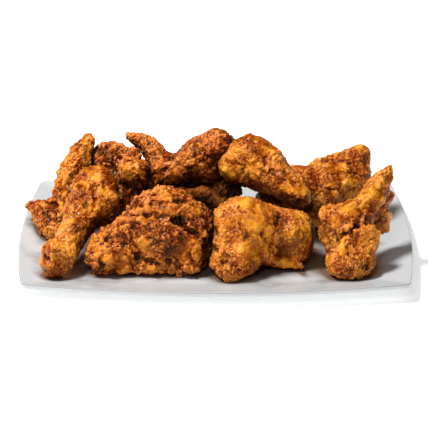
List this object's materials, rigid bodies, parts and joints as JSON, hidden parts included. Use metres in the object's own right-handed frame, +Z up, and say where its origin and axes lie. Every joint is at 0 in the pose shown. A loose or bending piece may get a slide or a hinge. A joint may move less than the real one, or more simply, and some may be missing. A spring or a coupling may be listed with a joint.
{
  "type": "platter of fried chicken pieces",
  "caption": "Heap of breaded fried chicken wings, drumsticks and thighs on a shallow white oblong platter with bowed sides.",
  "frame": {"origin": "on the table under the middle of the platter", "axes": "+X to the right along the platter's long side, +Y to the back, +Z up"},
  "size_m": [0.3926, 0.2916, 0.1116],
  "materials": {
    "glaze": "glossy white glaze",
    "golden_crust": "crisp golden breading, lightly oily",
    "brown_crust": "crisp brown breading, lightly oily"
  },
  "bodies": {
    "root": {"platter": "glaze", "thigh_front_centre": "golden_crust", "drumstick_front_left": "golden_crust", "wing_front_right": "golden_crust", "wing_back_left": "golden_crust", "breast_back_right": "golden_crust", "drumstick_top_centre": "golden_crust", "thigh_front_left": "brown_crust", "thigh_under": "brown_crust", "drumstick_under": "brown_crust", "breast_back_left": "brown_crust", "wing_back_centre": "brown_crust"}
  },
  "joints": []
}
